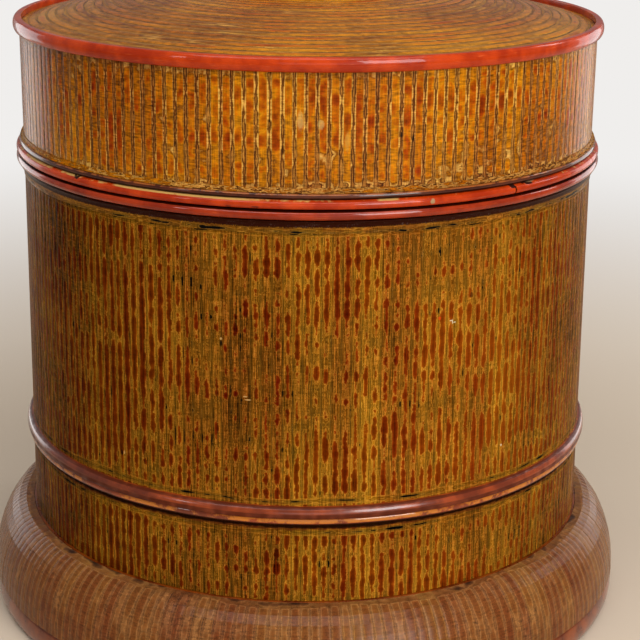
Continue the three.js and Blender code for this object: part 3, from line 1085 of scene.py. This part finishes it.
def make_wear_group():
    """Masks that every hoop uses: clouds, worn edges, chips, scratches round the hoop, and painted
    shading where the wear attribute is below zero.
    """
    tree, given, result = new_tree(
        "hoop_wear", "ShaderNodeTree", {"Wear": "Float", "Seed": "Float"},
        dict.fromkeys(HOOP_MASKS, "Float"))
    x, y, z = separate(object_position(tree))
    shifted = combine(tree, x, y, z + given["Seed"])
    cloud = noise(shifted, 1 / CLOUD_SIZE, 3.0, 0.6) + 0.5
    rub = attribute(tree, "wear") * given["Wear"]
    worn = smooth(rub + noise(shifted, 1 / WORN_GRAIN, 4.0, 0.65) * 0.9, *WORN_CUT)
    chip = attribute(tree, "chip") + noise(shifted, 1 / CHIP_GRAIN, 2.0) * 0.5
    lined = combine(tree, x / SCRATCH_LENGTH, y / SCRATCH_LENGTH, z / SCRATCH_HEIGHT)
    scratch = smooth(noise(lined, 1.0, 2.0), *SCRATCH_CUT)
    # Painted shading: where the wear attribute is below zero, shade in gaps and under edges, and
    # dark reflections on the lower ring's shoulder.
    painted_shading = attribute(tree, "wear") + noise(shifted, 1 / PAINTED_SHADING_GRAIN) * 0.4
    masks = (cloud, worn, smooth(chip, *CHIP_CUT), scratch, smooth(painted_shading, *PAINTED_SHADING_CUT))
    for label, wire in zip(HOOP_MASKS, masks):
        plug(tree, wire, result.inputs[label])
    return tree


wear_group = make_wear_group()
print("wear group has", len(wear_group.nodes), "nodes")

# %% [markdown]
# A hoop's finish lays the light cloud over the dark one, then adds scratches, worn edges, chips and
# painted shading, and coats the sound, unshaded parts with gloss. The painted shading is shade in
# the gaps and under the edges, and on the lower ring it is also dark reflections on the shoulder
# and in the valley. The pale chips of the lid's hoop are marks, as on the slats, and so is the
# painted shade over the left half of the lower ring.

# %% Plain lacquers


def hoop_lacquer(name, shades, wear, seed, roughness, coat, coat_roughness=0.08, marks=()):
    """Shades are the dark and the light cloud, the worn edge, the chip, the scratch, and the colour
    of the painted shading in gaps, under edges and on the lower ring's shoulder."""
    dark, light, rubbed, bare, scratched, fill_and_shade = [colour(*shade) for shade in shades]
    material, tree, shader = new_material(name, roughness)
    cloud, worn, chip, scratch, painted_shading = use_group(tree, wear_group, wear=wear, seed=seed)
    base = mix_colours(smooth(cloud, *CLOUD_CUT), dark, light)
    base = mix_colours(scratch * 0.35, base, scratched)
    base = mix_colours(worn, base, rubbed)
    base = mix_colours(chip, base, bare)
    # The painted shading is laid over the colour, and the gloss is taken off there too.
    base = mix_colours(painted_shading * 0.9, base, fill_and_shade)
    if marks:
        base = add_marks(object_position(tree), base, HOOP_MARK_RADIUS, marks)
    plug(tree, base, shader.inputs["Base Color"])
    plug(tree, roughness + worn * 0.2 + chip * 0.3 + cloud * 0.08, shader.inputs["Roughness"])
    shader.inputs["IOR"].default_value = HOOP_GLOSS
    shader.inputs["Coat Roughness"].default_value = coat_roughness
    plug(tree, (1 - chip) * (1 - painted_shading) * coat, shader.inputs["Coat Weight"])
    relief = cloud * 0.5 - worn * 0.3 - chip * 0.8 - scratch * 0.15
    add_bump(tree, shader, relief, 0.3, 0.3 * MM)
    return material


# The last of each hoop's shades is the colour of its painted shading.
RED_SHADES = (
    (150, 38, 4), (184, 58, 10), (192, 146, 80), (48, 20, 12), (206, 104, 54), (22, 4, 2))
HOOP_MARKS = (
    ((158, 132, 92), 0.85, ((21.8, 400.6, 1.9, 1.9), (43.3, 404.6, 5.5, 0.9))),
    ((34, 14, 8), 0.9, ((41.4, 404.4, 2.6, 0.8), (-45.8, 403.6, 1.8, 1.4), (-8.8, 399.0, 3.4, 0.5),
                        (-13.5, 398.6, 2.4, 0.5))),
)
red_lacquer = hoop_lacquer("red_lacquer", RED_SHADES, 1.0, 5.0, 0.22, 0.4, 0.06, HOOP_MARKS)
# A darker copy of the red lacquer, painted shade for the body's hoop.
shaded_red_lacquer = hoop_lacquer("shaded_red_lacquer", (
    (126, 32, 4), (158, 48, 8), *RED_SHADES[2:]), 1.0, 8.0, 0.22, 0.65, 0.04)
brown_lacquer = hoop_lacquer("brown_lacquer", (
    (92, 32, 4), (132, 58, 8), (176, 100, 26), (36, 14, 6), (140, 70, 28), (26, 10, 4)),
    0.9, 17.0, 0.24, 0.8)
# The last ring shade, purple-brown, colours its painted shade and dark reflections. The bead's last
# shade is near black, for the painted shade under it.
RING_SHADES = (
    (102, 37, 9), (142, 57, 16), (186, 106, 28), (36, 14, 6), (150, 76, 32), (78, 31, 16))
# Painted shade over the left half of the lower ring, the side away from the light.
PAINTED_RING_LEFT_SHADE = (((72, 27, 10), 0.55, ((-48.0, 156.0, 110.0, 9.0),)),)
ring_lacquer = hoop_lacquer(
    "ring_lacquer", RING_SHADES, 0.9, 17.0, 0.3, 1.0, 0.18, PAINTED_RING_LEFT_SHADE)
ring_bead_lacquer = hoop_lacquer(
    "ring_bead_lacquer", (*RING_SHADES[:5], (44, 15, 6)), 1.0, 23.0, 0.3, 1.0, 0.05)
dark_lacquer = hoop_lacquer("dark_lacquer", (
    (44, 14, 6), (74, 28, 12), (128, 66, 22), (20, 8, 6), (92, 46, 26), (18, 6, 3)),
    0.7, 29.0, 0.26, 1.0)
bead_lacquer = hoop_lacquer("bead_lacquer", (
    (56, 19, 8), (80, 33, 13), (140, 74, 24), (20, 8, 6), (110, 52, 24), (36, 12, 6)),
    1.0, 31.0, 0.26, 0.6, 0.06)
print("hoop wear is used by", wear_group.users, "finishes")

# %% [markdown]
# The hollow mouldings wear the rubbed lacquer too, but with no slats under it, so its contours
# run round the bin. The same height group makes it, with long flat bands and no crest. The
# domed lid is wound of coils, so there the crest follows the radius.

# %% Rubbed lacquer on hollows and coils
COIL_PITCH = 7.8 * MM
COIL_TONES = 60
hollow_lacquer = slat_lacquer(
    "hollow_lacquer", GOLDEN_COATS, 0.0, 1.05, middle=0.80, slats=1.0, level=0.30, streak=0.4,
    streak_length=0.04, band=0.5, bead=0.7, rung=1.3, seed=41.0)
# The rim hollow is painted near black as shade from 4 mm above its lower edge upwards.
fillet_lacquer = slat_lacquer(
    "fillet_lacquer", OCHRE_COATS, 0.2, 1.12, FILLET_LOW + 4 * MM, slats=BODY_SLATS, level=0.15,
    streak=0.3, streak_length=0.05, band=0.6, bead=0.6, rung=0.4, thread=0.2, seed=43.0,
    fill=1.0, groove_half=5 * MM, groove_a=FILLET_LOW + 1.6 * MM)
coil_lacquer = slat_lacquer(
    "coil_lacquer", GOLDEN_COATS, 0.2, 1.2, slats=COIL_TONES, coil_pitch=COIL_PITCH, crest=0.25,
    crest_power=2.0, bar=0.44, bar_edge=0.7, calm=0.6, streak=1.0, streak_length=0.05,
    band=0.5, bead=0.3, rung=0.1, thread=0.2, seed=47.0)
print("contour finishes", hollow_lacquer.name, fillet_lacquer.name, coil_lacquer.name)

# %% [markdown]
# The foot carries the whole bin: a thick hoop on the floor, and above it the flared moulding,
# whose slats were made above. The core that they lie on is turned here, a slat's thickness
# inside them, with the shelf on which the base rests.

# %% Foot
FOOT_SLAT_BED = 3.1 * MM
FLARE_STEPS = 12


def make_foot():
    inner, outer, low, high = ring_size("foot_hoop")
    hoop = softened([
        (inner, low, 0.2), (outer - 3 * MM, low, 0.3), (outer - 0.4 * MM, low + 7 * MM, 0.0),
        (outer - 0.4 * MM, high - 7 * MM, 0.0), (outer - 2.5 * MM, high, 0.6), (inner, high, 0.2),
    ], 4 * MM, 4)
    foot_hoop = turned("foot_ring", hoop, brown_lacquer, 0.2 * MM, 1)

    shelf_inner, _, low, high = ring_size("foot_moulding")
    spread = FOOT_OUT - FOOT_NECK
    rise = high - low
    flare = []
    for step in range(FLARE_STEPS + 1):
        angle = math.pi / 2 * step / FLARE_STEPS
        out = rise * math.cos(angle)
        up = spread * math.sin(angle)
        length = math.hypot(out, up)
        flare.append((
            FOOT_NECK + spread * math.cos(angle) - FOOT_SLAT_BED * out / length,
            low + rise * math.sin(angle) - FOOT_SLAT_BED * up / length, 0.0))
    shelf_under = min(z for r, z in node_points("foot_moulding") if r < shelf_inner + MM)
    core = flare + [
        (FOOT_NECK - 0.5 * MM, high, 0.3), (shelf_inner, high, 0.2),
        (shelf_inner, shelf_under, 0.0), (inner, low, 0.2)]
    return foot_hoop, turned("foot_core", core, brown_lacquer)


foot_ring, foot_core = make_foot()

# %% [markdown]
# The floor of the bin is a disc with a hoop pressed into the corner above it. Both are seen only
# from above with the lid off, and both are lacquered like the inside.

# %% Base and inside of the body


def make_base():
    _, outer, low, high = ring_size("base_disc")
    disc = softened([
        (0, low, 0.0), (outer, low, 0.2), (outer, high, 0.2), (outer * 0.6, high, 0.0),
        (outer * 0.3, high - 0.2 * MM, 0.0), (0, high - 0.3 * MM, 0.0)], 1.5 * MM)
    inner, outer, low, high = ring_size("inner_base_hoop")
    hoop = softened([
        (inner, low, 0.0), (outer, low, 0.0), (outer, high, 0.4), (inner + 2 * MM, high, 0.8),
        (inner, high - 3 * MM, 0.3)], 2 * MM)
    return turned("base_board", disc, dark_lacquer), turned("base_band", hoop, red_lacquer)


def make_shell(name, inner_low, outer_low, inner_top, outer_top, low, high):
    """The smooth core behind a slat wall."""
    section = softened([
        (inner_low, low, 0.2), (outer_low, low, 0.0), (outer_top, high, 0.0),
        (inner_top, high, 0.2)], 0.6 * MM, 2)
    return turned(name, section, dark_lacquer)


base_board, base_band = make_base()
bed = SLAT_THICKNESS + 0.1 * MM
wall_spread = WALL_OUT - WALL_OUT_TOP
body_lining = make_shell(
    "body_lining", WALL_IN + wall_spread, WALL_OUT - bed, WALL_IN, WALL_OUT_TOP - bed,
    WALL_LOW, WALL_TOP)

# %% [markdown]
# One ring binds the lower wall. Its section has two parts: a broad shoulder, rounded like half a
# barrel, that leaves the wall at once and catches the light, and under it, past a narrow valley, a
# smaller bead with a sharp underside. The bead's underside is painted dark as shade, and the valley
# and the upper shoulder carry painted dark reflections.

# %% Lower ring
SEAT_SINK = 0.3 * MM
RING_BEAD_SHARE = 0.4
RING_FULLEST_SHARE = 0.55
RING_BEAD_WIDTH = 2.0 * MM
RING_BEAD_SET_BACK = 1.5 * MM
RUBBED_RIGHT = (-8, 80)


def wall_radius(z):
    """Radius of the crowns of the body slats at a height."""
    return WALL_OUT - wall_spread * (z - WALL_LOW) / (WALL_TOP - WALL_LOW)


def rubbed_right(angle):
    """The bead of the lower ring is rubbed most to the right of the front."""
    if RUBBED_RIGHT[0] < from_front(angle) < RUBBED_RIGHT[1]:
        return 1.0
    return 0.9 + 0.12 * math.sin(17 * angle)


def make_lower_ring():
    _, outer, low, high = ring_size("lower_ring")
    seat = wall_radius((low + high) / 2) - SEAT_SINK
    tall = high - low
    half = tall * RING_BEAD_SHARE / 2
    middle = outer - RING_BEAD_SET_BACK - RING_BEAD_WIDTH
    size = (middle, low + half, RING_BEAD_WIDTH, half)
    # The bead's underside and its ends at the wall carry wear below zero: painted shade, the black
    # line under the ring.
    bead = turned("waist_bead", [
        (seat - 0.6 * MM, low + 0.4 * MM, -1.0),
        *arc(*size, -95, -35, 5, -1.0), *arc(*size, -20, 90, 10, 0.66),
        (seat - 0.6 * MM, low + 2 * half, -1.0)], ring_bead_lacquer, 0.25 * MM, 7,
        rubbed=rubbed_right)
    fullest = low + tall * RING_FULLEST_SHARE
    size = (seat, fullest, outer - 0.3 * MM - seat, high - fullest)
    # Below zero the wear paints shade at the lower end, a painted dark reflection in the valley and
    # another on the upper shoulder, where the gloss is also taken off.
    ring = turned("waist_ring", [
        (seat - 0.6 * MM, low + 2 * half - 1.2 * MM, -1.0),
        *arc(*size, -20, 10, 5, -0.66), *arc(*size, 18, 44, 4),
        *arc(*size, 50, 74, 4, -0.72), *arc(*size, 80, 89, 2, 0.6),
        (seat - 0.6 * MM, high, 0.6)], ring_lacquer, 0.25 * MM, 7)
    return ring, bead


waist_ring, waist_bead = make_lower_ring()

# %% [markdown]
# The rim of the body is a red hoop over a hollow strip, whose upper part is painted near black as
# shade. A thin sleeve stands up inside it and guides the lid.

# %% Rim of the body
HOOP_ROUNDING = 2.6 * MM


def red_hoop(name, node, finish, low_wear_and_shade, top_wear_and_shade, unevenness, seed, chips=(), rubbed=None):
    """A hoop with a full, rounded face, flat where it meets the hoop above or below."""
    inner, outer, low, high = ring_size(node)
    middle = (low + high) / 2
    half = (high - low) / 2
    face = arc(outer - HOOP_ROUNDING, middle, HOOP_ROUNDING - unevenness, half - 0.65 * MM,
               -84, 84, 12)
    section = [
        (inner, low, 0.0), (outer - 2 * HOOP_ROUNDING, low, 0.0), *face,
        (outer - 3.4 * MM, high - 0.05 * MM, 0.0), (outer - 5.4 * MM, high, 0.0),
        (inner, high, 0.0)]
    # On the low and top edges, a value below zero is painted shade along the gap or hollow, and a
    # value above zero is wear.
    section = [(r, z, low_wear_and_shade if z < low + 0.9 * MM else top_wear_and_shade if z > high - MM else 0.0)
               for r, z, _ in section]
    return turned(name, section, finish, unevenness, seed, chips, rubbed)


def make_rim_hollow():
    _, outer, low, high = ring_size("rim_fillet")
    seat = wall_radius(low) - SEAT_SINK
    edge = 0.8 * MM
    hollow = arc(outer, low + 0.4 * MM, seat + edge - outer, high - low - 1.2 * MM, 0, 90, 9)
    section = [(seat - 0.4 * MM, low, 0.0), (seat + edge, low, 0.5), *hollow,
               (outer, high, 0.4), (seat - 0.4 * MM, high, 0.0)]
    return turned("rim_hollow", section, fillet_lacquer, 0.1 * MM, 13)


def make_sleeve(name, node, top_wear_and_shade):
    inner, outer, low, high = ring_size(node)
    section = softened([
        (inner, low, 0.3), (outer, low, 0.3), (outer, high, top_wear_and_shade), (inner, high, top_wear_and_shade)],
        1.2 * MM)
    return turned(name, section, dark_lacquer)


# The body's hoop is painted with shade along both edges, at the gap under the lid and over the
# hollow.
body_red_rim = red_hoop(
    "body_red_rim", "body_rim_ring", shaded_red_lacquer, -0.5, -1.0, 0.18 * MM, 21)
rim_hollow = make_rim_hollow()
guide_sleeve = make_sleeve("guide_sleeve", "body_collar", 0.9)

# %% [markdown]
# The lid's own red hoop is the most worn piece of the bin: its top edge is rubbed to the yellow
# ground, bits of lacquer are gone, and it has one crack right through. Over it lie a thin dark
# bead and a hollow moulding that leads into the slats.

# %% Skirt of the lid
RUBBED_LEFT = (-75, 16)
RUBBED_MOST = (-42, -4)
DARK_BEAD_WIDTH = 2 * MM


def rubbed_front_left(angle):
    """The top edge of the lid's hoop is rubbed most a little to the left of the front."""
    front = from_front(angle)
    if not RUBBED_LEFT[0] < front < RUBBED_LEFT[1]:
        return 0.5
    most = 0.74 if RUBBED_MOST[0] < front < RUBBED_MOST[1] else 0.62
    return most + 0.12 * math.sin(23 * angle) + 0.08 * math.sin(9 * angle)


def make_lid_skirt():
    _, _, low, high = ring_size("lid_rim_ring")
    middle = (low + high) / 2
    chips = [
        Chip(39.7, middle, 1.0 * MM, 5 * MM, 2.4 * MM),
        Chip(39.2, high, 3.2 * MM, 2 * MM, 1.4 * MM),
        Chip(43.4, high, 5.0 * MM, 1.4 * MM, 0.5 * MM),
        Chip(-45.8, high - 0.6 * MM, 2.0 * MM, 1.4 * MM, 0.6 * MM),
        Chip(69.6, middle, 0.7 * MM, 5 * MM, 1.8 * MM),
        Chip(151.0, middle, 2.0 * MM, 1.2 * MM, 0.6 * MM),
        Chip(-128.0, high - 1 * MM, 3.0 * MM, 1.4 * MM, 0.8 * MM),
    ]
    # The lid's hoop gets painted shade along its lower edge at the gap, and real wear on its top
    # edge.
    rim = red_hoop("lid_red_rim", "lid_rim_ring", red_lacquer, -1.0, 1.0, 0.25 * MM, 33, chips,
                   rubbed_front_left)

    _, outer, low, high = ring_size("lid_bead")
    seat = LID_OUT - 0.5 * MM
    half = (high - low) / 2
    size = (outer - DARK_BEAD_WIDTH, low + half, DARK_BEAD_WIDTH, half)
    # The lower half of the bead carries wear below zero: painted shade.
    bead = turned("lid_dark_bead", [
        (seat, low, -1.0), *arc(*size, -90, -30, 4, -0.8), *arc(*size, -12, 12, 2),
        *arc(*size, 30, 90, 4, 0.66), (seat, high, 0.3)], bead_lacquer, 0.12 * MM, 39)

    _, outer, low, high = ring_size("lid_cove")
    edge = 0.5 * MM
    sweep = arc(outer, high, LID_OUT + edge - outer, low + 0.8 * MM - high, 90, 0, 10)
    cove = turned("lid_hollow", [
        (seat, low, 0.0), (outer, low, 0.0), *sweep, (seat, high, 0.0)],
        hollow_lacquer, 0.12 * MM, 43)
    return rim, bead, cove


lid_red_rim, lid_dark_bead, lid_hollow = make_lid_skirt()
lid_lining = make_shell(
    "lid_lining", LID_IN, LID_OUT - 2.5 * MM, LID_IN, LID_OUT - 2.5 * MM, LID_LOW, LID_TOP)
lid_sleeve = make_sleeve("lid_sleeve", "lid_liner", 0.2)

# %% [markdown]
# The top of the lid is a low dome inside a red shoulder ring. The dome is wound of coils, which
# show as fine steps, and it ends in a small ring with a flat button in it.

# %% Top of the lid
COIL_RELIEF = 0.45 * MM
COIL_STEPS = 4


def make_lid_top():
    inner, outer, low, high = ring_size("lid_shoulder_ring")
    middle = (low + high) / 2
    half = (high - low) / 2
    shoulder = turned("lid_shoulder", softened([
        (inner, low, 0.1), *arc(outer - 3 * MM, middle, 3 * MM, half, -90, 90, 12, 0.12),
        (inner, high, 0.7)], 0.5 * MM, 2), red_lacquer, 0.0, 51)

    _, edge_radius, low, high = ring_size("lid_crown")
    edge_height = highest_near("lid_crown", edge_radius)
    rise = high - edge_height
    ball = (edge_radius ** 2 + rise ** 2) / (2 * rise)
    coils = int(edge_radius / COIL_PITCH)
    over = []
    for step in range(coils * COIL_STEPS, -1, -1):
        radius = COIL_PITCH * step / COIL_STEPS
        surface = math.sqrt(ball ** 2 - radius ** 2) - (ball - rise) + edge_height
        crown = abs((step / COIL_STEPS % 1) * 2 - 1) ** 2
        over.append((radius, surface - COIL_RELIEF * crown, 0.0))
    thickness = edge_height - low
    under = [(r * 0.985, z - thickness, 0.0) for r, z, _ in reversed(over[::COIL_STEPS])]
    dome = turned("lid_dome", [(edge_radius, low, 0.0), (edge_radius, edge_height, 0.0)]
                  + over + under, coil_lacquer)
    return shoulder, dome


def make_lid_middle():
    inner, outer, low, high = ring_size("lid_crown_ring")
    centre = (inner + outer) / 2
    half = (outer - inner) / 2
    seat = highest_near("lid_crown", 0.0)
    ring = turned("lid_dome_ring", [
        (inner, low + 0.3 * MM, 0.0), (outer, low, 0.0),
        *arc(centre, low + 1 * MM, half, high - low - 1 * MM, 0, 180, 12, 0.1)[1:-1]],
        red_lacquer, 0.0, 57)
    _, outer, low, high = ring_size("lid_boss")
    drop = highest_near("lid_boss", outer) - high
    section = [
        (0, seat + 0.3 * MM, 0.0), (outer, low, 0.0),
        *arc(outer - 3.5 * MM, high - 3.5 * MM, 3.5 * MM, 3.2 * MM, 0, 80, 5, 0.4),
        (outer - 6 * MM, high, 0.3), (outer * 0.72, high, 0.0),
        (outer * 0.7, high - 0.5 * MM, 0.2), (outer * 0.67, high - 0.5 * MM, 0.2),
        (outer * 0.65, high, 0.0), (0, high, 0.0)]
    print("button edge drop", round(drop / MM, 1))
    return ring, turned("lid_button", section, coil_lacquer)


lid_shoulder, lid_dome = make_lid_top()
lid_dome_ring, lid_button = make_lid_middle()

# %% [markdown]
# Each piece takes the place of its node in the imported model. It names the node that it stands
# for, the finish slot, and the body that carries it, so that it moves when the lid is lifted.

# %% Settle the pieces on their bodies
SETTLED = (
    ("bin", "brown_lacquer", foot_ring, "foot_hoop"),
    ("bin", "brown_lacquer", foot_slats, "foot_moulding"),
    ("bin", "dark_lacquer", foot_core, "foot_moulding"),
    ("bin", "dark_lacquer", base_board, "base_disc"),
    ("bin", "red_lacquer", base_band, "inner_base_hoop"),
    ("bin", "ochre_slats", body_slats, "body_slat_wall"),
    ("bin", "dark_lacquer", body_lining, "body_slat_wall"),
    ("bin", "brown_lacquer", waist_ring, "lower_ring"),
    ("bin", "brown_lacquer", waist_bead, "lower_ring"),
    ("bin", "red_lacquer", body_red_rim, "body_rim_ring"),
    ("bin", "dark_lacquer", rim_hollow, "rim_fillet"),
    ("bin", "dark_lacquer", guide_sleeve, "body_collar"),
    ("lid", "red_lacquer", lid_red_rim, "lid_rim_ring"),
    ("lid", "dark_lacquer", lid_dark_bead, "lid_bead"),
    ("lid", "golden_slats", lid_hollow, "lid_cove"),
    ("lid", "golden_slats", lid_slats, "lid_slat_wall"),
    ("lid", "dark_lacquer", lid_lining, "lid_slat_wall"),
    ("lid", "dark_lacquer", lid_sleeve, "lid_liner"),
    ("lid", "red_lacquer", lid_shoulder, "lid_shoulder_ring"),
    ("lid", "golden_slats", lid_dome, "lid_crown"),
    ("lid", "red_lacquer", lid_dome_ring, "lid_crown_ring"),
    ("lid", "golden_slats", lid_button, "lid_boss"),
)
for body, slot, piece, node in SETTLED:
    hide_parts(node)
    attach(piece, body)
print("settled", len(SETTLED), "pieces")
